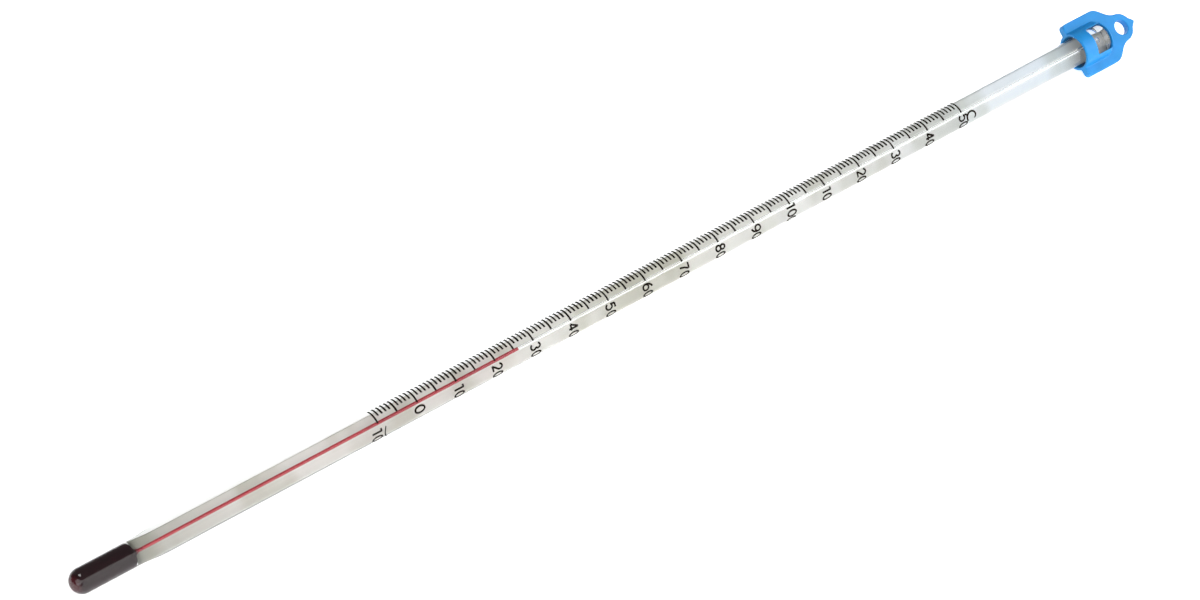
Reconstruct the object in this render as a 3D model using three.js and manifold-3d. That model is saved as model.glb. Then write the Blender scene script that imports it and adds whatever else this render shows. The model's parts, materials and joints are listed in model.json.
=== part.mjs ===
// A spirit-in-glass darkroom thermometer with a push-on anti-roll hanging cap.
// Millimetres, +Z up. Each piece is drawn in the thermometer's own frame, with its axis
// along +X and the bulb's tip at x = 0. The whole is then laid on the bench at z = 0,
// where it rests on the stem's bulb end, the cap's collar and the edge of one wing.
import * as THREE from 'three';
import { mergeVertices } from 'three/addons/utils/BufferGeometryUtils.js';
import Module from 'manifold-3d';

const wasm = await Module();
wasm.setup();

// ---- driving dimensions ----------------------------------------------------------------
const GLASS_LENGTH = 301.5;
const STEM_R = 3.4;
const BULB_R = 2.93;
const BULB_WALL = 0.45;
const BULB_TIP_WALL = 0.9;        // the glass is thicker where the bulb was closed
const BULB_SHOULDER_X = 12.7;     // the cavity narrows from here
const NECK_X = 16.5;              // the cavity has become the capillary here
const FLARE_START_X = 15;         // the glass widens from the bulb to the stem
const FLARE_END_X = 23;
const FUSED_JOINT_X = 16.55;        // the bulb is fused to the capillary tube here
const BORE_R = 0.23;
const CHAMBER_R = 0.45;           // the expansion bubble at the top of the bore
const CHAMBER_X = 299.1;
const END_ROUND = 0.7;            // fire-polished top edge
const SEAM = 0.04;                // between the two fused glass pieces
const LIQUID_GAP = 0.05;          // between the liquid and the wall that holds it

const ZERO_X = 87.9;              // where 0 degrees C stands
const DEGREE = 1.0668;            // bore length of one degree near 0
const EXPANSION_GROWTH = 0.000137; // each degree is a little longer than the one below
const SCALE_MIN = -10;
const SCALE_MAX = 150;
const READING = 27;               // where the column stands at rest
const MENISCUS_LENGTH = 0.8;

const SCALE_ROLL = 36;            // degrees from +Z towards -Y: the side the scale is read from
const MARK_WIDTH = 0.38;
const MARK_INK = 0.03;            // thickness of the fired ink
const MARK_OUTER_EDGE = -71;      // degrees round the stem from the bore line
const TEN_DEGREE_EDGE = 1;
const FIVE_DEGREE_EDGE = -6;

const ENAMEL_WIDTH = 2.48;
const ENAMEL_THICKNESS = 0.25;
const ENAMEL_DEPTH = 1.55;        // behind the bore
const ENAMEL_SHIFT = -0.12;        // the strip lies a little off centre
const ENAMEL_END_X = 301.2;
const ENAMEL_GAP = 0.1;

const CAP_MOUTH_X = 291.9;
const CAP_ROLL = 33;               // degrees: one wing's edge touches the bench
const PLATE_THICKNESS = 2.1;
const WING_HALF = 7.28;
const MOUTH_CORNER_R = 1.1;
const TAB_R = 3.72;
const TAB_X = 15.65;              // from the mouth, as the next sizes are
const HANGING_HOLE_X = 15.95;
const HANGING_HOLE_R = 1.95;
const WING_END_X = 9.6;            // the wing's edge starts to curve in here
const WAIST_X = 12.65;            // the middle of the curve from wing to tab
const WAIST_BLEND = 0.25;         // its two control points lie this far each side of it
const WAIST_HALF = 4.03;
const TAB_START = 84;             // degrees round the tab where the curve meets it
const NUB_TIP_X = 20.4;
const NUB_HALF = 1.4;
const NUB_BLUNT = 0.35;
const COLLAR_R = 4.9;
const COLLAR_LENGTH = 3.5;
const BOSS_ROUND_X = 7.5;         // the boss rounds off from here
const BOSS_END_X = 11.4;
const SOCKET_R = 3.5;
const MOUTH_R = 4.15;             // the socket widens to its mouth
const MOUTH_DEPTH = 2.5;
const SOCKET_DEPTH = 9.9;
const BARREL_TURN = 2;            // degrees: the barrel lies on the middle of one of its faces

const ROUND_SIDES = 36;
const BORE_SIDES = 16;
const MARK_SEGMENTS = 4;          // three.js doubles this on an arc
const OUTLINE_SEGMENTS = 8;
const RAD = Math.PI / 180;

// ---- materials ---------------------------------------------------------------------------
function finish(color, roughness, metalness = 0) {
  return new THREE.MeshStandardMaterial({ color, roughness, metalness });
}
const clearGlass = finish(0xdfe6e4, 0.05);
const whiteEnamel = finish(0xeeeade, 0.35);
const redSpirit = finish(0xb0283c, 0.1);
const darkSpirit = finish(0x2a1419, 0.1);
const brownInk = finish(0x3c342a, 0.6);
const bluePvc = finish(0x2f8fe6, 0.45);

// ---- helpers -------------------------------------------------------------------------------
// A turned piece along +X. The profile's points are (radius, x).
function turned(profile, sides = ROUND_SIDES) {
  return new THREE.LatheGeometry(profile, sides).rotateZ(-Math.PI / 2);
}

function point(radius, x) {
  return new THREE.Vector2(radius, x);
}

// Points on a quarter or half circle of the profile, from one angle to another.
// An angle of 0 points away from the axis and 90 points along +X.
function arcPoints(centreX, radius, fromDegrees, toDegrees, steps, inset = 0) {
  const points = [];
  for (let i = 0; i <= steps; i += 1) {
    const angle = (fromDegrees + ((toDegrees - fromDegrees) * i) / steps) * RAD;
    points.push(point(inset + radius * Math.cos(angle), centreX + radius * Math.sin(angle)));
  }
  return points;
}

function onAxis(points, end) {
  points[end === 'first' ? 0 : points.length - 1].x = 0;
  return points;
}

function solid(geometry) {
  const bare = geometry.clone();
  bare.deleteAttribute('normal');
  bare.deleteAttribute('uv');
  const merged = mergeVertices(bare, 1e-4);
  return new wasm.Manifold(new wasm.Mesh({
    numProp: 3,
    vertProperties: new Float32Array(merged.attributes.position.array),
    triVerts: new Uint32Array(merged.index.array),
  }));
}

function geometryOf(body) {
  const mesh = body.getMesh();
  const geometry = new THREE.BufferGeometry();
  geometry.setAttribute('position', new THREE.BufferAttribute(mesh.vertProperties, 3));
  geometry.setIndex(new THREE.BufferAttribute(mesh.triVerts, 1));
  geometry.computeVertexNormals();
  return geometry;
}

function named(name, geometry, material) {
  const mesh = new THREE.Mesh(geometry, material);
  mesh.name = name;
  return mesh;
}

function scaleX(degrees) {
  return ZERO_X + DEGREE * (degrees + EXPANSION_GROWTH * degrees * degrees);
}

function smooth(t) {
  return t * t * (3 - 2 * t);
}

function flareR(x) {
  const t = THREE.MathUtils.clamp((x - FLARE_START_X) / (FLARE_END_X - FLARE_START_X), 0, 1);
  return BULB_R + (STEM_R - BULB_R) * smooth(t);
}

function flarePoints(fromX, toX, steps) {
  const points = [];
  for (let i = 0; i <= steps; i += 1) {
    const x = fromX + ((toX - fromX) * i) / steps;
    points.push(point(flareR(x), x));
  }
  return points;
}

// ---- glass ---------------------------------------------------------------------------------
// The bulb's cavity from its tip to its neck, drawn in from the glass by a gap.
function cavityProfile(gap) {
  const radius = BULB_R - BULB_WALL - gap;
  const neckR = BORE_R - gap;
  const tipX = BULB_TIP_WALL + gap;
  const points = onAxis(arcPoints(tipX + radius, radius, -90, 0, 6), 'first');
  const steps = 6;
  for (let i = 0; i <= steps; i += 1) {
    const t = i / steps;
    const narrowing = Math.sqrt(Math.max(0, 1 - t * t));
    const x = BULB_SHOULDER_X + (NECK_X - 1 - BULB_SHOULDER_X) * t;
    points.push(point(neckR + 0.35 + (radius - neckR - 0.35) * narrowing, x));
  }
  points.push(point(neckR, NECK_X));
  return points;
}

function glassBulb() {
  const outer = onAxis(arcPoints(BULB_R, BULB_R, -90, 0, 7), 'first');
  outer.push(...flarePoints(FLARE_START_X, FUSED_JOINT_X - SEAM, 3));
  const cavity = cavityProfile(0);
  cavity.push(point(BORE_R, FUSED_JOINT_X - SEAM));
  return turned([...outer, ...cavity.reverse()]);
}

function bulbSpirit() {
  const profile = cavityProfile(LIQUID_GAP);
  profile.push(point(BORE_R - LIQUID_GAP, FUSED_JOINT_X - SEAM));
  profile.push(point(0, FUSED_JOINT_X - SEAM));
  return turned(profile);
}

// The strip lies behind the bore, seen from the scale's side.
function enamelStrip(gap) {
  const startX = FUSED_JOINT_X - (gap > 0 ? 1 : -LIQUID_GAP);
  const length = ENAMEL_END_X + gap - startX;
  return new THREE.BoxGeometry(length, ENAMEL_WIDTH + 2 * gap, ENAMEL_THICKNESS + 2 * gap)
    .translate(startX + length / 2, ENAMEL_SHIFT, -ENAMEL_DEPTH)
    .rotateX(SCALE_ROLL * RAD);
}

function glassStem() {
  const chamberStart = Math.acos(BORE_R / CHAMBER_R) / RAD;
  const bubble = onAxis(arcPoints(CHAMBER_X, CHAMBER_R, 90, -chamberStart, 6), 'first');
  const outer = flarePoints(FUSED_JOINT_X, FLARE_END_X, 5);
  const top = arcPoints(GLASS_LENGTH - END_ROUND, END_ROUND, 0, 90, 4, STEM_R - END_ROUND);
  const profile = [...bubble, point(BORE_R, FUSED_JOINT_X), ...outer, ...top];
  profile.push(point(0, GLASS_LENGTH));
  const rod = solid(turned(profile));
  return geometryOf(rod.subtract(solid(enamelStrip(ENAMEL_GAP))));
}

// ---- liquid --------------------------------------------------------------------------------
function thread(fromX, toX) {
  const radius = BORE_R - LIQUID_GAP;
  return turned([point(0, fromX), point(radius, fromX), point(radius, toX), point(0, toX)], BORE_SIDES);
}

// The column's top end, hollowed where the spirit climbs the wall.
function meniscus() {
  const radius = BORE_R - LIQUID_GAP;
  const topX = scaleX(READING);
  const profile = [point(0, topX - MENISCUS_LENGTH), point(radius, topX - MENISCUS_LENGTH)];
  profile.push(point(radius, topX), point(radius * 0.6, topX - radius * 0.45));
  profile.push(point(0, topX - radius * 0.6));
  return turned(profile, BORE_SIDES);
}

// ---- scale ---------------------------------------------------------------------------------
// One ink line of the scale, wrapped round the stem from its outer edge to the bore line.
function scaleMark(degrees, innerEdge) {
  const innerR = STEM_R + 0.02;
  const outerR = innerR + MARK_INK;
  const from = Math.PI + (SCALE_ROLL + MARK_OUTER_EDGE) * RAD;
  const to = Math.PI + (SCALE_ROLL + innerEdge) * RAD;
  const shape = new THREE.Shape();
  shape.absarc(0, 0, outerR, from, to, false);
  shape.absarc(0, 0, innerR, to, from, true);
  const options = { depth: MARK_WIDTH, bevelEnabled: false, curveSegments: MARK_SEGMENTS };
  return new THREE.ExtrudeGeometry(shape, options)
    .translate(0, 0, scaleX(degrees) - MARK_WIDTH / 2)
    .rotateY(Math.PI / 2);
}

function markName(kind, degrees) {
  const size = String(Math.abs(degrees)).padStart(3, '0');
  return `${kind}_${degrees < 0 ? 'minus' : 'plus'}_${size}`;
}

// ---- cap -----------------------------------------------------------------------------------
// The plate's outline, along x from the mouth and y across, with the hanging hole.
function plateOutline() {
  const nubBaseX = TAB_X + Math.sqrt(TAB_R * TAB_R - NUB_HALF * NUB_HALF);
  const nubAngle = Math.asin(NUB_HALF / TAB_R);
  const tabStart = TAB_START * RAD;
  const tabX = TAB_X + TAB_R * Math.cos(tabStart);
  const tabY = TAB_R * Math.sin(tabStart);
  const corner = MOUTH_CORNER_R;
  const outline = new THREE.Shape();
  outline.moveTo(0, -WING_HALF + corner);
  outline.absarc(corner, -WING_HALF + corner, corner, Math.PI, 1.5 * Math.PI, false);
  outline.lineTo(WING_END_X, -WING_HALF);
  const wingSide = WAIST_X - WAIST_BLEND;
  const tabSide = WAIST_X + WAIST_BLEND;
  outline.bezierCurveTo(wingSide, -WING_HALF, tabSide, -WAIST_HALF, tabX, -tabY);
  outline.absarc(TAB_X, 0, TAB_R, -tabStart, -nubAngle, false);
  outline.lineTo(NUB_TIP_X - NUB_BLUNT, -NUB_BLUNT);
  outline.absarc(NUB_TIP_X - NUB_BLUNT, 0, NUB_BLUNT, -0.3 * Math.PI, 0.3 * Math.PI, false);
  outline.lineTo(nubBaseX, NUB_HALF);
  outline.absarc(TAB_X, 0, TAB_R, nubAngle, tabStart, false);
  outline.bezierCurveTo(tabSide, WAIST_HALF, wingSide, WING_HALF, WING_END_X, WING_HALF);
  outline.lineTo(corner, WING_HALF);
  outline.absarc(corner, WING_HALF - corner, corner, 0.5 * Math.PI, Math.PI, false);
  outline.closePath();
  const hole = new THREE.Path();
  hole.absarc(HANGING_HOLE_X, 0, HANGING_HOLE_R, 0, 2 * Math.PI, true);
  outline.holes.push(hole);
  return outline;
}

// The collar's barrel, which rounds off beyond the glass's end.
function bossBarrel() {
  const profile = [point(0, 0), point(COLLAR_R, 0)];
  const steps = 8;
  const roundLength = BOSS_END_X - BOSS_ROUND_X;
  for (let i = 0; i <= steps; i += 1) {
    const angle = (i / steps) * 90 * RAD;
    profile.push(point(COLLAR_R * Math.cos(angle), BOSS_ROUND_X + roundLength * Math.sin(angle)));
  }
  return turned(onAxis(profile, 'last')).rotateX(BARREL_TURN * RAD);
}

function hangerCap() {
  const options = { depth: PLATE_THICKNESS, bevelEnabled: false, curveSegments: OUTLINE_SEGMENTS };
  const plate = new THREE.ExtrudeGeometry(plateOutline(), options)
    .translate(0, 0, -PLATE_THICKNESS / 2);
  const socket = turned([
    point(0, -1), point(MOUTH_R, -1), point(MOUTH_R, 0), point(SOCKET_R, MOUTH_DEPTH),
    point(SOCKET_R, SOCKET_DEPTH), point(0, SOCKET_DEPTH),
  ]);
  const windowLength = SOCKET_DEPTH - COLLAR_LENGTH;
  const viewWindow = new THREE.BoxGeometry(windowLength, 2 * SOCKET_R, 4 * COLLAR_R)
    .translate(COLLAR_LENGTH + windowLength / 2, 0, 0);
  const cap = solid(plate).add(solid(bossBarrel()))
    .subtract(solid(socket))
    .subtract(solid(viewWindow));
  return geometryOf(cap);
}

// ---- assembly ------------------------------------------------------------------------------
const thermometer = new THREE.Group();
thermometer.add(named('glass_stem', glassStem(), clearGlass));
thermometer.add(named('glass_bulb', glassBulb(), clearGlass));
thermometer.add(named('bulb_spirit', bulbSpirit(), darkSpirit));
thermometer.add(named('enamel_backing', enamelStrip(0), whiteEnamel));
const columnTopX = scaleX(READING) - MENISCUS_LENGTH - LIQUID_GAP;
thermometer.add(named('spirit_column', thread(FUSED_JOINT_X + SEAM, columnTopX), redSpirit));
thermometer.add(named('column_meniscus', meniscus(), redSpirit));

for (let degrees = SCALE_MIN; degrees <= SCALE_MAX; degrees += 5) {
  const isTen = degrees % 10 === 0;
  const name = markName(isTen ? 'ten_degree_mark' : 'five_degree_mark', degrees);
  const edge = isTen ? TEN_DEGREE_EDGE : FIVE_DEGREE_EDGE;
  thermometer.add(named(name, scaleMark(degrees, edge), brownInk));
}

const cap = new THREE.Group();
cap.position.x = CAP_MOUTH_X;
cap.rotation.x = CAP_ROLL * RAD;
cap.add(named('hanger_cap', hangerCap(), bluePvc));
thermometer.add(cap);

// The collar is thicker than the stem, so the stem slopes up towards the cap.
const slope = Math.asin((COLLAR_R - STEM_R) / (CAP_MOUTH_X - FLARE_END_X));
thermometer.rotation.y = -slope;

const bench = new THREE.Group();
bench.add(thermometer);
const lying = new THREE.Box3().setFromObject(bench, true);
const middle = lying.getCenter(new THREE.Vector3());
thermometer.position.set(-middle.x, -middle.y, -lying.min.z);

export default bench;
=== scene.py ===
"""Looks of the darkroom thermometer: fused glass, spirit, enamel, fired ink and a soft PVC cap.

Every piece is drawn in millimetres in the thermometer's own frame, with its axis along +X and
the bulb's tip at x = 0, as part.mjs draws it. stem_matrix() lays that frame on the CAD model.
"""
import json
import math
import random

import bmesh
import bpy
from mathutils import Matrix, Vector


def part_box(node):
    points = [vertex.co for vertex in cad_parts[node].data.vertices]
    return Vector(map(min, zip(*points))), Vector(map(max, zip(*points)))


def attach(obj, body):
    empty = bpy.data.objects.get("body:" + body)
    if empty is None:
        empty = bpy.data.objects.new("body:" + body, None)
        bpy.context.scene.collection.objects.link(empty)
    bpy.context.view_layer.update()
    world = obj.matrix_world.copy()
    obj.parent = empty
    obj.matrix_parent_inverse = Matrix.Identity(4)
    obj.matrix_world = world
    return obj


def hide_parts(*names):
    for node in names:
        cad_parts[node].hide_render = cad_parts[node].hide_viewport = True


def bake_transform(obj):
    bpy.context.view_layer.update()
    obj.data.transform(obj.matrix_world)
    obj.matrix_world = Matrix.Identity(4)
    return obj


# ---- sizes in millimetres: part.mjs's own where it has them, unless a comment says otherwise ----
GLASS_LENGTH = 301.5
STEM_R = 3.4
BULB_R = 2.93
BULB_WALL = 0.45
BULB_TIP_WALL = 1.05  # 0.9 in part.mjs
BULB_SHOULDER_X = 12.7
NECK_X = 16.5
FLARE_START_X = 15.0
FLARE_END_X = 23.0
BORE_R = 0.23
CHAMBER_R = 0.45
CHAMBER_X = 299.1
END_ROUND = 0.3  # 0.7 in part.mjs

ZERO_X = 87.9
DEGREE = 1.0668
EXPANSION_GROWTH = 0.000137
SCALE_MIN = -10
SCALE_MAX = 150
READING = 27
MENISCUS_LENGTH = 0.8

SCALE_ROLL = 36.0  # degrees from up towards -Y: the side the scale is read from
MARK_OUTER_EDGE = -71.0
INNER_EDGE = {10: 1.0, 5: -6.0, 1: -25.0}
MARK_STROKE = 0.46  # 0.38 in part.mjs
NUMERAL_STROKE = 0.46
MINUS_STROKE = 0.3
INK_THICKNESS = 0.03
INK_SINK = 0.02  # the ink reaches this far into the glass, so that no gap shows under it

ENAMEL_WIDTH = 2.48
ENAMEL_THICKNESS = 0.25
ENAMEL_DEPTH = 1.55
ENAMEL_SHIFT = -0.12
ENAMEL_START_X = 15.6  # 16.6 in part.mjs
ENAMEL_END_X = 301.47  # almost flush with the glass, which mirrors it; 301.2 in part.mjs
END_NARROWING = 0.5  # the strip narrows where the tube was sealed
NARROWING_X = 293.0

CAP_MOUTH_X = 291.9
CAP_ROLL = 33.0
PLATE_THICKNESS = 2.1
WING_HALF = 7.28
WING_END_X = 9.6
MOUTH_CORNER_R = 1.1
WAIST_X = 12.65
WAIST_BLEND = 0.25
WAIST_HALF = 4.03
TAB_R = 3.72
TAB_X = 15.65
TAB_START = 84.0
NUB_TIP_X = 20.4
NUB_HALF = 1.4
NUB_BLUNT = 0.35
HANGING_HOLE_X = 15.95
HANGING_HOLE_R = 1.95
COLLAR_R = 4.9
COLLAR_LENGTH = 3.9  # 3.5 in part.mjs
BOSS_ROUND_X = 7.5
BOSS_END_X = 11.4
SOCKET_R = 3.5
MOUTH_R = 4.15
MOUTH_DEPTH = 2.5
SOCKET_DEPTH = 9.9
WINDOW_END_X = 9.6  # in part.mjs the window ends with the socket
WINDOW_CORNER_R = 0.6
CAP_VOXEL = 0.11
CAP_SMOOTHING = 12  # passes over the remeshed moulding, which round its edges

# ---- the camera, at the photograph's viewing angle --------------------------------------
CAMERA_AZIMUTH = -41.75
CAMERA_ELEVATION = 45.73
CAMERA_ROLL = 4.81
CAMERA_DISTANCE = 0.7543
CAMERA_RIGHT = -0.01150
CAMERA_UP = -0.00493
CAMERA_TARGET = (-0.0005, 0, 0.004)
CAMERA_LENS = 98.2

# ---- light ----------------------------------------------------------------------------------
CEILING_LIGHT = 0.25
FRONT_LIGHT = 1.9
BULB_END_LIGHT = 0.2  # how much of the front light reaches round to the bulb end
TOP_LAMP = 7.0
SOFTBOX_LIGHT = 2.0


# ---- frame and small helpers ----------------------------------------------------------------
def scale_x(degrees):
    return ZERO_X + DEGREE * (degrees + EXPANSION_GROWTH * degrees * degrees)


def joint_axis(frame, name):
    return Vector(next(j["axis"] for j in frame["joints"] if j["name"] == name)).normalized()


def stem_matrix(frame):
    """The thermometer's own frame, in millimetres, laid on the CAD model, in metres."""
    along = joint_axis(frame, "temperature_reading")
    across = Vector((0, 1, 0))
    up = along.cross(across)
    low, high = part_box("column_meniscus")
    on_axis = (Vector(low) + Vector(high)) / 2
    tip = on_axis - along * (scale_x(READING) - MENISCUS_LENGTH / 2) / 1000
    turn = Matrix((along, across, up)).transposed().to_4x4()
    return Matrix.Translation(tip) @ turn @ Matrix.Scale(0.001, 4)


def smooth_step(t):
    t = min(max(t, 0.0), 1.0)
    return t * t * (3 - 2 * t)


def new_piece(name, mesh_bmesh, matrix, materials, smooth=True):
    """A mesh object from a bmesh in millimetres, with its faces turned out."""
    mesh_bmesh.transform(matrix)
    bmesh.ops.recalc_face_normals(mesh_bmesh, faces=mesh_bmesh.faces)
    mesh = bpy.data.meshes.new(name)
    mesh_bmesh.to_mesh(mesh)
    mesh_bmesh.free()
    for polygon in mesh.polygons:
        polygon.use_smooth = smooth
    for material in materials:
        mesh.materials.append(material)
    piece = bpy.data.objects.new(name, mesh)
    bpy.context.scene.collection.objects.link(piece)
    return piece


def add_lathe(bm, profile, sides):
    """Turns (radius, x) points about the X axis. A radius of 0 becomes one vertex."""
    rings = []
    for radius, x in profile:
        if radius < 1e-6:
            rings.append([bm.verts.new((x, 0, 0))])
            continue
        ring = []
        for i in range(sides):
            angle = 2 * math.pi * i / sides
            ring.append(bm.verts.new((x, radius * math.cos(angle), radius * math.sin(angle))))
        rings.append(ring)
    for first, second in zip(rings, rings[1:]):
        for i in range(sides):
            j = (i + 1) % sides
            corners = [first[i % len(first)], first[j % len(first)]]
            corners += [second[j % len(second)], second[i % len(second)]]
            unique = list(dict.fromkeys(corners))
            if len(unique) > 2:
                bm.faces.new(unique)


def arc(centre_x, radius, start, end, steps, inset=0.0):
    """Profile points on an arc. 0 degrees points away from the axis, 90 along +X."""
    points = []
    for i in range(steps + 1):
        angle = math.radians(start + (end - start) * i / steps)
        points.append((inset + radius * math.cos(angle), centre_x + radius * math.sin(angle)))
    return points


# ---- glass ------------------------------------------------------------------------------------
def flare_radius(x):
    return BULB_R + (STEM_R - BULB_R) * smooth_step((x - FLARE_START_X) / (FLARE_END_X - FLARE_START_X))


def cavity_profile(grow):
    """The bulb's cavity from its tip to its neck, made larger by grow."""
    radius = BULB_R - BULB_WALL + grow
    neck = BORE_R + grow
    shoulder = 0.35
    tip_x = BULB_TIP_WALL - grow
    points = [(0.0, tip_x)] + arc(tip_x + radius, radius, -84, 0, 14)
    steps = 14
    for i in range(1, steps + 1):
        t = i / steps
        narrowing = math.sqrt(max(0.0, 1 - t * t))
        x = BULB_SHOULDER_X + (NECK_X - 1 - BULB_SHOULDER_X) * t
        points.append((neck + shoulder + (radius - neck - shoulder) * narrowing, x))
    for i in range(1, 5):
        t = i / 4
        points.append((neck + shoulder * (1 - t) ** 1.5, NECK_X - 1 + t))
    return points


def glass_body(matrix, material):
    """The bulb and the capillary stem, fused into one piece, with the bore inside."""
    bm = bmesh.new()
    outer = [(0.0, 0.0)] + arc(BULB_R, BULB_R, -84, 0, 16)
    steps = 16
    for i in range(steps + 1):
        x = FLARE_START_X + (FLARE_END_X - FLARE_START_X) * i / steps
        outer.append((flare_radius(x), x))
    for i in range(1, 28):
        outer.append((STEM_R, FLARE_END_X + (GLASS_LENGTH - END_ROUND - FLARE_END_X) * i / 28))
    outer += arc(GLASS_LENGTH - END_ROUND, END_ROUND, 0, 80, 8, STEM_R - END_ROUND)
    outer += [(STEM_R * 0.6, GLASS_LENGTH), (0.0, GLASS_LENGTH)]
    add_lathe(bm, outer, 128)
    joined = math.degrees(math.acos(BORE_R / CHAMBER_R))
    inner = cavity_profile(0.0)
    inner += arc(CHAMBER_X, CHAMBER_R, -joined, 84, 14) + [(0.0, CHAMBER_X + CHAMBER_R)]
    add_lathe(bm, inner, 64)
    piece = new_piece("fused_glass", bm, matrix, [material])
    turn_inner_wall_in(piece, matrix)
    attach(piece, "glass")
    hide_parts("glass_stem", "glass_bulb")
    return piece


def turn_inner_wall_in(piece, matrix):
    """The wall of the bore faces the bore, so that the glass has an inside."""
    to_stem = matrix.inverted()
    bm = bmesh.new()
    bm.from_mesh(piece.data)
    for face in bm.faces:
        centre = to_stem @ face.calc_center_median()
        normal = to_stem.to_3x3() @ face.normal
        radial = Vector((0, centre.y, centre.z))
        inner = radial.length < flare_radius(centre.x) - BULB_WALL * 0.5
        near_end = centre.x > GLASS_LENGTH - 0.2 or centre.x < BULB_WALL * 0.5
        bulb_tip = Vector((BULB_R, 0, 0))
        if centre.x < BULB_R:
            inner = (centre - bulb_tip).length < BULB_R - BULB_WALL * 0.5
        if not inner or near_end:
            outward = centre - Vector((min(max(centre.x, BULB_R), GLASS_LENGTH - 1), 0, 0))
            if normal.dot(outward) < 0:
                face.normal_flip()
            continue
        hollow = Vector((min(max(centre.x, BULB_R), CHAMBER_X), 0, 0))
        if normal.dot(hollow - centre) < 0:
            face.normal_flip()
    bm.to_mesh(piece.data)
    bm.free()


def enamel_strip(matrix, material):
    """The opal white strip fused into the glass behind the bore, with rounded edges."""
    bm = bmesh.new()
    half_width = ENAMEL_WIDTH / 2
    half_thick = ENAMEL_THICKNESS / 2
    section = []
    for side, start in ((1, -90), (-1, 90)):
        for i in range(9):
            angle = math.radians(start + 180 * i / 8)
            section.append((side, half_thick * math.cos(angle), half_thick * math.sin(angle)))
    turn = Matrix.Rotation(math.radians(SCALE_ROLL), 4, "X")
    rings = []
    steps = 120
    for i in range(steps + 1):
        x = ENAMEL_START_X + (ENAMEL_END_X - ENAMEL_START_X) * i / steps
        ring = []
        for side, bulge, z in section:
            edge = side * (half_width - half_thick)
            if side > 0:
                edge -= END_NARROWING * smooth_step((x - NARROWING_X) / (ENAMEL_END_X - NARROWING_X))
            ring.append(bm.verts.new(turn @ Vector((x, edge + bulge + ENAMEL_SHIFT, z - ENAMEL_DEPTH))))
        rings.append(ring)
    for first, second in zip(rings, rings[1:]):
        for i in range(len(section)):
            j = (i + 1) % len(section)
            bm.faces.new((first[i], first[j], second[j], second[i]))
    bm.faces.new(rings[0])
    bm.faces.new(rings[-1])
    piece = new_piece("enamel_strip", bm, matrix, [material])
    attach(piece, "glass")
    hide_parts("enamel_backing")
    return piece


# ---- liquid -----------------------------------------------------------------------------------
WETTING = 0.012  # the liquid is drawn this far into the glass, so that no air shows between them


def bulb_liquid(matrix, material):
    bm = bmesh.new()
    profile = cavity_profile(WETTING)
    profile += [(BORE_R + WETTING, NECK_X + 1), (0.0, NECK_X + 1)]
    add_lathe(bm, profile, 96)
    piece = new_piece("spirit_in_bulb", bm, matrix, [material])
    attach(piece, "glass")
    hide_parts("bulb_spirit")
    return piece


def red_column(matrix, material):
    """The thread of spirit from the bulb's neck to the reading, with a hollow meniscus."""
    bm = bmesh.new()
    radius = BORE_R + WETTING
    start_x = NECK_X + 0.9
    top_x = scale_x(READING)
    steps = 96
    profile = [(0.0, start_x)]
    for i in range(steps + 1):
        profile.append((radius, start_x + (top_x - MENISCUS_LENGTH - start_x) * i / steps))
    profile.append((radius, top_x - MENISCUS_LENGTH * 0.3))
    for i in range(7):
        angle = math.pi / 2 * i / 6
        profile.append((radius * math.cos(angle), top_x - radius * 0.8 * math.sin(angle)))
    profile[-1] = (0.0, profile[-1][1])
    add_lathe(bm, profile, 32)
    piece = new_piece("spirit_thread", bm, matrix, [material])
    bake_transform(piece)
    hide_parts("spirit_column", "column_meniscus")
    return piece


# ---- scale ------------------------------------------------------------------------------------
def add_stroke(bm, points, closed=False, width=MARK_STROKE):
    """A line of fired ink on the stem. points are (mm round the stem from the bore line, x)."""
    section = [(1, -INK_SINK), (1, INK_THICKNESS * 0.7), (0.6, INK_THICKNESS)]
    section += [(-side, height) for side, height in reversed(section)]
    count = len(points)
    rings = []
    for i, (u, v) in enumerate(points):
        before = points[(i - 1) % count] if closed or i > 0 else points[i]
        after = points[(i + 1) % count] if closed or i < count - 1 else points[i]
        along = Vector((after[0] - before[0], after[1] - before[1])).normalized()
        side = Vector((-along.y, along.x)) * width / 2
        ring = []
        for across, height in section:
            angle = math.radians(SCALE_ROLL) + (u + across * side.x) / STEM_R
            radius = STEM_R + height
            position = (v + across * side.y, -radius * math.sin(angle), radius * math.cos(angle))
            ring.append(bm.verts.new(position))
        rings.append(ring)
    last = count if closed else count - 1
    for i in range(last):
        first = rings[i]
        second = rings[(i + 1) % count]
        for k in range(len(section)):
            m = (k + 1) % len(section)
            bm.faces.new((first[k], first[m], second[m], second[k]))
    if not closed:
        bm.faces.new(rings[0])
        bm.faces.new(rings[-1])


def scale_marks(matrix, material, kind, name, replaced):
    """Every mark of one kind: the tens, the fives or the single degrees."""
    wobble = random.Random(kind)
    bm = bmesh.new()
    for degrees in range(SCALE_MIN, SCALE_MAX + 1):
        size = 10 if degrees % 10 == 0 else 5 if degrees % 5 == 0 else 1
        if size != kind:
            continue
        start = MARK_OUTER_EDGE + wobble.uniform(-1.5, 1.5)
        end = INNER_EDGE[kind] + wobble.uniform(-0.8, 0.8)
        x = scale_x(degrees) + wobble.uniform(-0.02, 0.02)
        steps = 14
        points = []
        for i in range(steps + 1):
            angle = math.radians(start + (end - start) * i / steps)
            points.append((angle * STEM_R, x))
        add_stroke(bm, points, width=MARK_STROKE * wobble.uniform(0.92, 1.08))
    piece = new_piece(name, bm, matrix, [material])
    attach(piece, "glass")
    if replaced:
        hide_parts(*replaced)
    return piece


def oval(cx, cy, rx, ry, start=0.0, end=360.0, steps=20):
    points = []
    for i in range(steps + 1):
        angle = math.radians(start + (end - start) * i / steps)
        points.append((cx + rx * math.cos(angle), cy + ry * math.sin(angle)))
    return points


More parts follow.
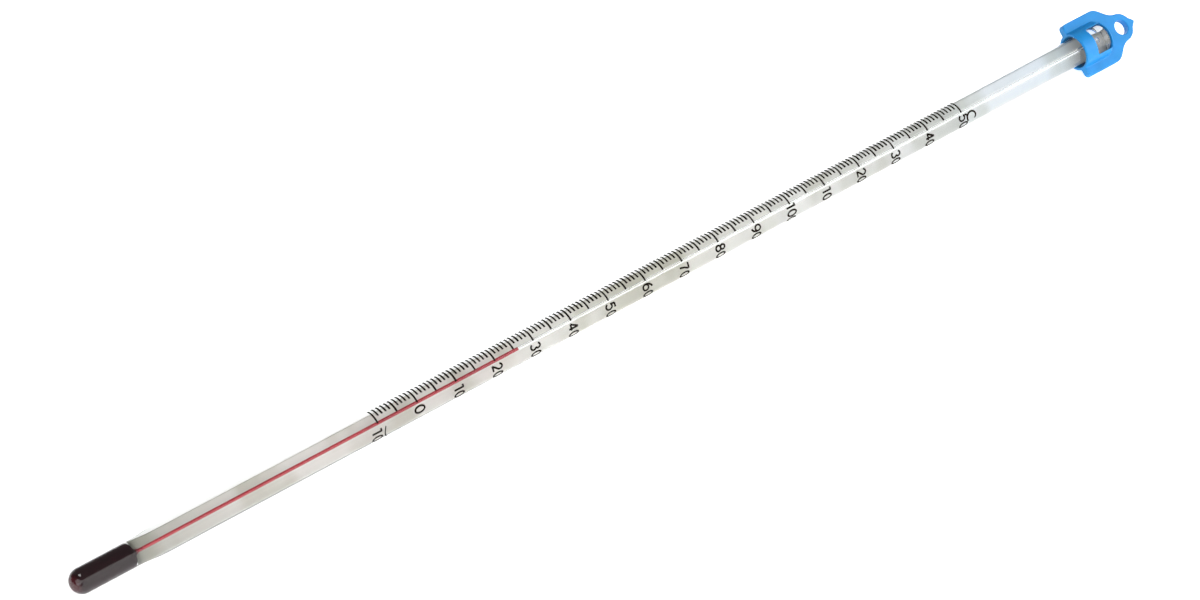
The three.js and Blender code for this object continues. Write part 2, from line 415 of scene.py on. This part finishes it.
def glyph(character):
    """Centre lines of a character in a cell 1 wide and 1 high, each with whether it closes."""
    if character == "0":
        return [(oval(0.5, 0.5, 0.44, 0.5)[:-1], True)]
    if character == "1":
        return [([(0.08, 0.94), (0.35, 0.97), (0.6, 1.0), (0.6, 0.5), (0.6, 0.0)], False)]
    if character == "2":
        bend = oval(0.5, 0.72, 0.42, 0.28, 165, -35, 12)
        foot = [(0.02, 0.02), (0.5, 0.02), (0.98, 0.02)]
        return [(bend + [(0.45, 0.3), (0.06, 0.0)], False), (foot, False)]
    if character == "3":
        top = oval(0.48, 0.76, 0.38, 0.24, 160, -75, 12)
        low = oval(0.48, 0.27, 0.44, 0.27, 75, -160, 14)
        return [(top, False), (low, False)]
    if character == "4":
        return [([(0.7, 1.0), (0.38, 0.62), (0.04, 0.26)], False),
                ([(0.04, 0.26), (0.5, 0.26), (1.0, 0.26)], False),
                ([(0.72, 1.0), (0.72, 0.5), (0.72, 0.0)], False)]
    if character == "5":
        bowl = oval(0.44, 0.33, 0.46, 0.33, 125, -155, 16)
        return [([(0.88, 0.98), (0.5, 0.98), (0.2, 0.98)], False),
                ([(0.2, 1.0), (0.15, 0.75), (0.12, 0.52)], False), (bowl, False)]
    if character == "6":
        return [(oval(0.5, 0.3, 0.44, 0.3)[:-1], True),
                (oval(0.78, 0.34, 0.72, 0.66, 95, 175, 10), False)]
    if character == "7":
        return [([(0.04, 0.98), (0.5, 0.98), (0.96, 0.98)], False),
                ([(0.94, 0.96), (0.55, 0.5), (0.36, 0.0)], False)]
    if character == "8":
        return [(oval(0.5, 0.76, 0.36, 0.24)[:-1], True), (oval(0.5, 0.27, 0.44, 0.27)[:-1], True)]
    if character == "9":
        return [(oval(0.5, 0.7, 0.44, 0.3)[:-1], True),
                (oval(0.22, 0.66, 0.72, 0.66, 275, 355, 10), False)]
    if character == "C":
        return [(oval(0.55, 0.5, 0.5, 0.5, 48, 312, 18), False)]
    raise ValueError("no glyph for " + character)


DIGIT_HEIGHT = 2.5
LABELS = {  # the number printed at each tenth degree, with each digit's start and width
    0: (("0", 0.85, 1.75),),
    10: (("1", 1.05, 1.25), ("0", 2.65, 1.5)),
    20: (("2", 0.85, 1.45), ("0", 2.9, 1.3)),
    30: (("3", 0.75, 1.5), ("0", 2.85, 1.35)),
    40: (("4", 0.7, 1.6), ("0", 2.9, 1.45)),
    50: (("5", 0.75, 1.55), ("0", 2.85, 1.5)),
    60: (("6", 0.7, 1.6), ("0", 2.8, 1.5)),
    70: (("7", 0.7, 1.6), ("0", 2.8, 1.5)),
    80: (("8", 0.65, 1.6), ("0", 2.75, 1.5)),
    90: (("9", 0.62, 1.65), ("0", 2.7, 1.55)),
    100: (("1", 0.0, 1.2), ("0", 1.5, 1.7), ("0", 3.6, 1.4)),
    110: (("1", 0.7, 1.2), ("0", 2.25, 1.6)),
    120: (("2", 0.7, 1.6), ("0", 2.7, 1.5)),
    130: (("3", 0.7, 1.6), ("0", 2.7, 1.5)),
    140: (("4", 0.65, 1.65), ("0", 2.7, 1.5)),
    150: (("5", 0.63, 1.6), ("0", 2.65, 1.55)),
}
LOWEST_LABEL = (("1", 1.2, 1.25), ("0", 2.95, 1.3))


def add_digits(bm, digits, x, height=DIGIT_HEIGHT):
    """Characters from the bore line outwards, upright when the cap is up."""
    for character, start, width in digits:
        for points, closed in glyph(character):
            placed = [(start + px * width, x + (py - 0.5) * height) for px, py in points]
            add_stroke(bm, placed, closed, NUMERAL_STROKE)


def numerals(matrix, material):
    """Every tenth degree is numbered. Above 100 the first digit is left out."""
    bm = bmesh.new()
    for degrees, digits in LABELS.items():
        add_digits(bm, digits, scale_x(degrees))
    lowest = scale_x(SCALE_MIN)
    add_digits(bm, LOWEST_LABEL, lowest - 0.95)
    bar = []
    for i in range(13):
        t = i / 12
        bar.append((1.45 + 3.3 * t, lowest + 1.5 + 0.1 * t - 0.5 * math.sin(math.pi * t)))
    add_stroke(bm, bar, width=MINUS_STROKE)
    add_digits(bm, (("C", 0.63, 2.6),), scale_x(SCALE_MAX) + 2.55, 2.7)
    piece = new_piece("scale_numerals", bm, matrix, [material])
    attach(piece, "glass")
    return piece


# ---- cap ----------------------------------------------------------------------------------------
def bezier(p0, p1, p2, p3, steps):
    points = []
    for i in range(steps + 1):
        t = i / steps
        s = 1 - t
        weights = (s ** 3, 3 * s * s * t, 3 * s * t * t, t ** 3)
        x = sum(weight * point[0] for weight, point in zip(weights, (p0, p1, p2, p3)))
        y = sum(weight * point[1] for weight, point in zip(weights, (p0, p1, p2, p3)))
        points.append((x, y))
    return points


def plate_outline():
    """Half of the plate's outline from mouth to nub, mirrored to a closed loop."""
    corner = MOUTH_CORNER_R
    half = oval(corner, WING_HALF - corner, corner, corner, 180, 90, 6)
    start = math.radians(TAB_START)
    tab = (TAB_X + TAB_R * math.cos(start), TAB_R * math.sin(start))
    wing_side = (WAIST_X - WAIST_BLEND, WING_HALF)
    tab_side = (WAIST_X + WAIST_BLEND, WAIST_HALF)
    half += bezier((WING_END_X, WING_HALF), wing_side, tab_side, tab, 14)
    nub_angle = math.degrees(math.asin(NUB_HALF / TAB_R))
    half += oval(TAB_X, 0, TAB_R, TAB_R, TAB_START, nub_angle, 14)[1:]
    half += oval(NUB_TIP_X - NUB_BLUNT, 0, NUB_BLUNT, NUB_BLUNT, 50, 0, 3)
    return half + [(x, -y) for x, y in reversed(half[:-1])]


def solid_from(name, build):
    bm = bmesh.new()
    build(bm)
    return new_piece(name, bm, Matrix.Identity(4), [], smooth=False)


def extrude_outline(bm, outline, reach):
    """A prism from an outline in the XY plane, as far as reach to each side of it."""
    low = [bm.verts.new((x, y, -reach)) for x, y in outline]
    high = [bm.verts.new((x, y, reach)) for x, y in outline]
    bm.faces.new(low)
    bm.faces.new(high)
    for i in range(len(outline)):
        j = (i + 1) % len(outline)
        bm.faces.new((low[i], low[j], high[j], high[i]))


def build_plate(bm):
    extrude_outline(bm, plate_outline(), PLATE_THICKNESS / 2)


def build_barrel(bm):
    profile = [(0.0, 0.0), (COLLAR_R, 0.0)]
    for i in range(17):
        angle = math.pi / 2 * i / 16
        x = BOSS_ROUND_X + (BOSS_END_X - BOSS_ROUND_X) * math.sin(angle)
        profile.append((COLLAR_R * math.cos(angle), x))
    profile[-1] = (0.0, BOSS_END_X)
    add_lathe(bm, profile, 96)


def build_socket(bm):
    profile = [(0.0, -1.0), (MOUTH_R, -1.0), (MOUTH_R, 0.0), (SOCKET_R, MOUTH_DEPTH)]
    profile += [(SOCKET_R, SOCKET_DEPTH), (0.0, SOCKET_DEPTH)]
    add_lathe(bm, profile, 96)


def build_window(bm):
    """A slot with round inner corners, right through the barrel."""
    r = WINDOW_CORNER_R
    near = COLLAR_LENGTH + r
    far = WINDOW_END_X - r
    side = SOCKET_R - r
    outline = []
    for cx, cy, start in ((far, side, 0), (near, side, 90), (near, -side, 180), (far, -side, 270)):
        outline += oval(cx, cy, r, r, start, start + 90, 6)
    extrude_outline(bm, outline, COLLAR_R * 2)


def build_hole(bm):
    radius = HANGING_HOLE_R
    depth = PLATE_THICKNESS * 2
    place = Matrix.Translation((HANGING_HOLE_X, 0, 0))
    size = {"radius1": radius, "radius2": radius, "depth": depth}
    bmesh.ops.create_cone(bm, segments=64, cap_ends=True, matrix=place, **size)


def apply_modifiers(piece):
    depsgraph = bpy.context.evaluated_depsgraph_get()
    mesh = bpy.data.meshes.new_from_object(piece.evaluated_get(depsgraph))
    old = piece.data
    piece.modifiers.clear()
    piece.data = mesh
    bpy.data.meshes.remove(old)


def combine(piece, other, operation):
    modifier = piece.modifiers.new("cut", "BOOLEAN")
    modifier.object = other
    modifier.operation = operation
    modifier.solver = "EXACT"
    apply_modifiers(piece)
    bpy.data.objects.remove(other)


def moulded_cap(matrix, material):
    """One soft moulding: its edges and inner corners are rounded by remeshing and smoothing."""
    piece = solid_from("hanging_cap", build_plate)
    combine(piece, solid_from("barrel", build_barrel), "UNION")
    combine(piece, solid_from("socket", build_socket), "DIFFERENCE")
    combine(piece, solid_from("window", build_window), "DIFFERENCE")
    combine(piece, solid_from("hole", build_hole), "DIFFERENCE")
    remesh = piece.modifiers.new("remesh", "REMESH")
    remesh.mode = "VOXEL"
    remesh.voxel_size = CAP_VOXEL
    smooth = piece.modifiers.new("smooth", "SMOOTH")
    smooth.factor = 0.5
    smooth.iterations = CAP_SMOOTHING
    apply_modifiers(piece)
    turn = Matrix.Rotation(math.radians(CAP_ROLL), 4, "X")
    piece.data.transform(matrix @ Matrix.Translation((CAP_MOUTH_X, 0, 0)) @ turn)
    for polygon in piece.data.polygons:
        polygon.use_smooth = True
    piece.data.materials.append(material)
    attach(piece, "cap")
    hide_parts("hanger_cap")
    return piece


# ---- materials ----------------------------------------------------------------------------------
class Nodes:
    """A material with a Principled shader and short calls for its texture nodes."""

    def __init__(self, name):
        self.material = bpy.data.materials.new(name)
        self.material.use_nodes = True
        self.tree = self.material.node_tree
        self.shader = self.tree.nodes["Principled BSDF"]
        self.coordinates = self.tree.nodes.new("ShaderNodeTexCoord").outputs["Object"]

    def set(self, **values):
        for name, value in values.items():
            self.shader.inputs[name.replace("_", " ")].default_value = value

    def stretched(self, scale):
        mapping = self.tree.nodes.new("ShaderNodeMapping")
        mapping.inputs["Scale"].default_value = scale
        self.tree.links.new(self.coordinates, mapping.inputs["Vector"])
        return mapping.outputs["Vector"]

    def noise(self, scale, detail=3.0, stretch=(1, 1, 1)):
        node = self.tree.nodes.new("ShaderNodeTexNoise")
        node.inputs["Scale"].default_value = scale
        node.inputs["Detail"].default_value = detail
        self.tree.links.new(self.stretched(stretch), node.inputs["Vector"])
        return node.outputs["Fac"]

    def ramp(self, factor, stops):
        node = self.tree.nodes.new("ShaderNodeValToRGB")
        elements = node.color_ramp.elements
        while len(elements) < len(stops):
            elements.new(0.5)
        for element, (position, colour) in zip(elements, stops):
            element.position = position
            element.color = (*colour, 1)
        self.tree.links.new(factor, node.inputs["Fac"])
        return node.outputs["Color"]

    def multiply(self, first, second):
        node = self.tree.nodes.new("ShaderNodeMix")
        node.data_type = "RGBA"
        node.blend_type = "MULTIPLY"
        node.inputs["Factor"].default_value = 1.0
        self.tree.links.new(first, node.inputs["A"])
        self.tree.links.new(second, node.inputs["B"])
        return node.outputs["Result"]

    def between(self, value, start, end):
        """0 to 1 as the value goes from start to end."""
        node = self.tree.nodes.new("ShaderNodeMapRange")
        node.inputs["From Min"].default_value = start
        node.inputs["From Max"].default_value = end
        self.tree.links.new(value, node.inputs["Value"])
        return node.outputs["Result"]

    def along(self, matrix, start, end):
        """0 to 1 from one place on the stem's axis to another, both in millimetres."""
        split = self.tree.nodes.new("ShaderNodeSeparateXYZ")
        self.tree.links.new(self.coordinates, split.inputs["Vector"])
        start_x = (matrix @ Vector((start, 0, 0))).x
        end_x = (matrix @ Vector((end, 0, 0))).x
        return self.between(split.outputs["X"], start_x, end_x)

    def vector_math(self, operation, vector, constant=None):
        node = self.tree.nodes.new("ShaderNodeVectorMath")
        node.operation = operation
        self.tree.links.new(vector, node.inputs[0])
        if constant is not None:
            node.inputs[1].default_value = constant
        return node

    def greater(self, first, second):
        node = self.tree.nodes.new("ShaderNodeMath")
        node.operation = "MAXIMUM"
        self.tree.links.new(first, node.inputs[0])
        self.tree.links.new(second, node.inputs[1])
        return node.outputs["Value"]

    def from_axis(self, matrix, start, end):
        """0 to 1 from one distance from the stem's axis to another, both in millimetres."""
        away = self.vector_math("SUBTRACT", self.coordinates, matrix.translation)
        axis = matrix.to_3x3().col[0].normalized()
        cross = self.vector_math("CROSS_PRODUCT", away.outputs["Vector"], axis)
        length = self.vector_math("LENGTH", cross.outputs["Vector"])
        return self.between(length.outputs["Value"], start / 1000, end / 1000)

    def span(self, factor, low, high):
        node = self.tree.nodes.new("ShaderNodeMapRange")
        node.inputs["To Min"].default_value = low
        node.inputs["To Max"].default_value = high
        self.tree.links.new(factor, node.inputs["Value"])
        return node.outputs["Result"]

    def bump(self, height, strength, distance):
        node = self.tree.nodes.new("ShaderNodeBump")
        node.inputs["Strength"].default_value = strength
        node.inputs["Distance"].default_value = distance
        self.tree.links.new(height, node.inputs["Height"])
        self.tree.links.new(node.outputs["Normal"], self.shader.inputs["Normal"])

    def link(self, output, name):
        self.tree.links.new(output, self.shader.inputs[name])


INSIDE_GLASS_IOR = 1.1  # a piece that the glass wets has hardly any gloss of its own


def glass_material():
    """Drawn glass: clear, with faint lines along the stem."""
    n = Nodes("clear_glass")
    n.set(Base_Color=(0.99, 1.0, 0.995, 1), Transmission_Weight=1.0, IOR=1.5)
    n.link(n.span(n.noise(90, 2, (0.3, 1, 1)), 0.0, 0.01), "Roughness")
    n.bump(n.noise(160, 2, (0.05, 1, 1)), 0.05, 0.0001)
    return n.material


def enamel_material(matrix):
    """Opal enamel: greyer near the bulb, lighter and cooler towards the cap as painted light from that
    end, clouded, and with painted shade under the collar, where the cap's socket shades and darkly
    mirrors it.
    """
    n = Nodes("white_enamel")
    along = n.along(matrix, 0.0, GLASS_LENGTH)
    # The tone along the stem paints light: lighter and cooler towards the cap. Its dark band, from just
    # before the mouth to the window, is painted shade: the shadow and dark reflection of the cap's
    # socket.
    tone_and_painted_light = n.ramp(along, [(0.055, (0.55, 0.56, 0.51)), (0.10, (0.66, 0.66, 0.61)),
                          (0.16, (0.82, 0.82, 0.78)), (0.26, (0.84, 0.83, 0.79)),
                          (0.42, (0.97, 0.95, 0.90)), (0.52, (0.86, 0.84, 0.77)),
                          (0.62, (0.96, 0.95, 0.91)), (0.76, (0.97, 0.97, 0.97)),
                          (0.88, (0.88, 0.93, 0.98)), (0.955, (0.84, 0.92, 1.0)),
                          (0.967, (0.60, 0.62, 0.65)), (0.980, (0.62, 0.61, 0.60)),
                          (0.984, (0.98, 0.94, 0.89))])
    cloud = n.ramp(n.noise(95, 2, (0.8, 1, 1)), [(0.40, (0.80, 0.80, 0.75)), (0.55, (1, 1, 1))])
    n.link(n.multiply(tone_and_painted_light, cloud), "Base Color")
    n.link(n.span(n.noise(300, 2), 0.35, 0.55), "Roughness")
    n.set(IOR=INSIDE_GLASS_IOR)
    return n.material


def bulb_spirit_material(matrix):
    """Dyed spirit in bulk: almost black, with red where it is thin, at the tip and the neck."""
    n = Nodes("bulb_spirit")
    along = n.along(matrix, 0.0, 20.0)
    depth = n.ramp(along, [(0.055, (0.09, 0.012, 0.018)), (0.10, (0.020, 0.003, 0.006)),
                           (0.78, (0.020, 0.003, 0.006)), (0.84, (0.42, 0.040, 0.055))])
    cloud = n.ramp(n.noise(150, 2), [(0.3, (0.8, 0.8, 0.8)), (0.7, (1, 1, 1))])
    n.link(n.multiply(depth, cloud), "Base Color")
    n.link(n.span(n.noise(200, 2), 0.25, 0.35), "Roughness")
    n.set(IOR=INSIDE_GLASS_IOR)
    return n.material


def red_spirit_material():
    """Dyed spirit in the bore, clear red and slightly uneven."""
    n = Nodes("red_spirit")
    red = [(0.3, (0.40, 0.036, 0.05)), (0.7, (0.50, 0.05, 0.065))]
    n.link(n.ramp(n.noise(220, 2, (0.4, 1, 1)), red), "Base Color")
    n.link(n.span(n.noise(300, 2), 0.2, 0.3), "Roughness")
    n.set(IOR=INSIDE_GLASS_IOR)
    return n.material


def ink_material():
    """Fired brown-black ink, uneven in its depth of colour."""
    n = Nodes("fired_ink")
    brown_black = [(0.3, (0.005, 0.0035, 0.002)), (0.7, (0.016, 0.011, 0.006))]
    n.link(n.ramp(n.noise(1500, 3), brown_black), "Base Color")
    n.link(n.span(n.noise(900, 2), 0.6, 0.8), "Roughness")
    n.set(IOR=1.15)
    n.bump(n.noise(2500, 2), 0.3, 0.00001)
    return n.material


def pvc_material(matrix):
    """Soft blue PVC: satin, slightly translucent, with a fine moulded grain, and painted shade
    darkening the inside of the collar.
    """
    n = Nodes("blue_pvc")
    blue = n.ramp(n.noise(220, 3), [(0.3, (0.009, 0.220, 0.55)), (0.7, (0.013, 0.255, 0.64))])
    # Painted shade: the collar's inside, near the stem and short of the window, is darkened as if in
    # shadow.
    outwards = n.from_axis(matrix, SOCKET_R - 0.2, MOUTH_R + 0.45)
    behind_collar = n.along(matrix, CAP_MOUTH_X + COLLAR_LENGTH - 0.6, CAP_MOUTH_X + COLLAR_LENGTH)
    outside_painted_shade = n.greater(outwards, behind_collar)
    painted_socket_shade = n.ramp(outside_painted_shade, [(0.2, (0.12, 0.14, 0.16)), (0.9, (1, 1, 1))])
    n.link(n.multiply(blue, painted_socket_shade), "Base Color")
    n.link(n.span(n.noise(700, 3), 0.34, 0.5), "Roughness")
    n.set(Specular_IOR_Level=0.3)
    n.set(Subsurface_Weight=0.2, Subsurface_Radius=(0.3, 0.7, 1.0), Subsurface_Scale=0.0008)
    n.bump(n.noise(1400, 4), 0.12, 0.00004)
    return n.material


def floor_material():
    """A white light table: it glows a little, so that shadows stay faint."""
    n = Nodes("light_table")
    white = [(0.3, (0.86, 0.86, 0.86)), (0.7, (0.9, 0.9, 0.9))]
    n.link(n.ramp(n.noise(3, 2), white), "Base Color")
    n.set(Roughness=0.9, Emission_Color=(1, 1, 1, 1), Emission_Strength=0.72)
    return n.material


# ---- stage, light and camera ------------------------------------------------------------------
def white_floor():
    bm = bmesh.new()
    bmesh.ops.create_grid(bm, x_segments=8, y_segments=8, size=3)
    floor = new_piece("white_floor", bm, Matrix.Identity(4), [floor_material()])
    floor.location.z = -0.0002


def light_towards(tree, direction, softness, low, high):
    """A soft-edged patch of light in the world, given by its direction and where it starts."""
    coordinates = tree.nodes.new("ShaderNodeTexCoord").outputs["Generated"]
    facing = tree.nodes.new("ShaderNodeVectorMath")
    facing.operation = "DOT_PRODUCT"
    facing.inputs[1].default_value = Vector(direction).normalized()
    tree.links.new(coordinates, facing.inputs[0])
    patch = tree.nodes.new("ShaderNodeMapRange")
    patch.interpolation_type = "SMOOTHSTEP"
    patch.inputs["From Min"].default_value = softness[0]
    patch.inputs["From Max"].default_value = softness[1]
    patch.inputs["To Min"].default_value = low
    patch.inputs["To Max"].default_value = high
    tree.links.new(facing.outputs["Value"], patch.inputs["Value"])
    return patch.outputs["Result"]


def combined(tree, operation, first, second):
    node = tree.nodes.new("ShaderNodeMath")
    node.operation = operation
    tree.links.new(first, node.inputs[0])
    tree.links.new(second, node.inputs[1])
    return node.outputs["Value"]


def studio_light():
    """A broad soft light from the front, a softbox at each end and a lamp above, in a dim room."""
    world = bpy.data.worlds.new("studio")
    bpy.context.scene.world = world
    world.use_nodes = True
    tree = world.node_tree
    edge = math.radians(SCALE_ROLL - 2)
    front = (0, -math.cos(edge), -math.sin(edge))
    total = light_towards(tree, front, (-0.10, 0.10), CEILING_LIGHT, FRONT_LIGHT)
    bulb_end = light_towards(tree, (-1, 0, 0), (0.25, 0.6), 1.0, BULB_END_LIGHT)
    total = combined(tree, "MULTIPLY", total, bulb_end)
    for side in (-1, 1):
        box = light_towards(tree, (side * 0.80, -0.36, 0.48), (0.86, 0.94), 0.0, SOFTBOX_LIGHT)
        total = combined(tree, "ADD", total, box)
    lamp = light_towards(tree, (-0.20, 0.25, 0.95), (0.976, 0.992), 0.0, TOP_LAMP)
    total = combined(tree, "ADD", total, lamp)
    tree.links.new(total, tree.nodes["Background"].inputs["Strength"])
    tree.nodes["Background"].inputs["Color"].default_value = (1.0, 1.0, 1.0, 1)


def place_camera():
    azimuth = math.radians(CAMERA_AZIMUTH)
    elevation = math.radians(CAMERA_ELEVATION)
    back = Vector((math.sin(azimuth) * math.cos(elevation),
                   -math.cos(azimuth) * math.cos(elevation), math.sin(elevation)))
    upright = (-back).to_track_quat("-Z", "Y").to_matrix()
    turn = upright @ Matrix.Rotation(math.radians(CAMERA_ROLL), 3, "Z")
    data = bpy.data.cameras.new("camera")
    data.sensor_width = 36.0
    data.lens = CAMERA_LENS
    data.clip_start = 0.01
    camera = bpy.data.objects.new("camera", data)
    target = Vector(CAMERA_TARGET)
    place = target + turn @ Vector((CAMERA_RIGHT, CAMERA_UP, CAMERA_DISTANCE))
    camera.matrix_world = Matrix.Translation(place) @ turn.to_4x4()
    bpy.context.scene.collection.objects.link(camera)
    bpy.context.scene.camera = camera


# ---- build ----------------------------------------------------------------------------------------
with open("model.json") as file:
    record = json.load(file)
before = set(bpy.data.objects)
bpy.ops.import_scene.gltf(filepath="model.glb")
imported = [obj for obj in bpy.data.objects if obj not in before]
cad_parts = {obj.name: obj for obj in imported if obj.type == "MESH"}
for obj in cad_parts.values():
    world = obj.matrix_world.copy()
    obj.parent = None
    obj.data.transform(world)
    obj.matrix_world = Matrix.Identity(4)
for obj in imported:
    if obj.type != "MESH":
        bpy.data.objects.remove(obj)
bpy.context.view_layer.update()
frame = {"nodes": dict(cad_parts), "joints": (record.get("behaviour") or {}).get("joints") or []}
place_camera()
studio_light()
white_floor()
bpy.context.scene.view_settings.view_transform = "Standard"

stem = stem_matrix(frame)
ink = ink_material()
glass_body(stem, glass_material())
enamel_strip(stem, enamel_material(stem))
bulb_liquid(stem, bulb_spirit_material(stem))
red_column(stem, red_spirit_material())
tens = [name for name in frame["nodes"] if name.startswith("ten_degree_mark")]
fives = [name for name in frame["nodes"] if name.startswith("five_degree_mark")]
scale_marks(stem, ink, 10, "ten_degree_marks", tens)
scale_marks(stem, ink, 5, "five_degree_marks", fives)
scale_marks(stem, ink, 1, "one_degree_marks", [])
numerals(stem, ink)
moulded_cap(stem, pvc_material(stem))
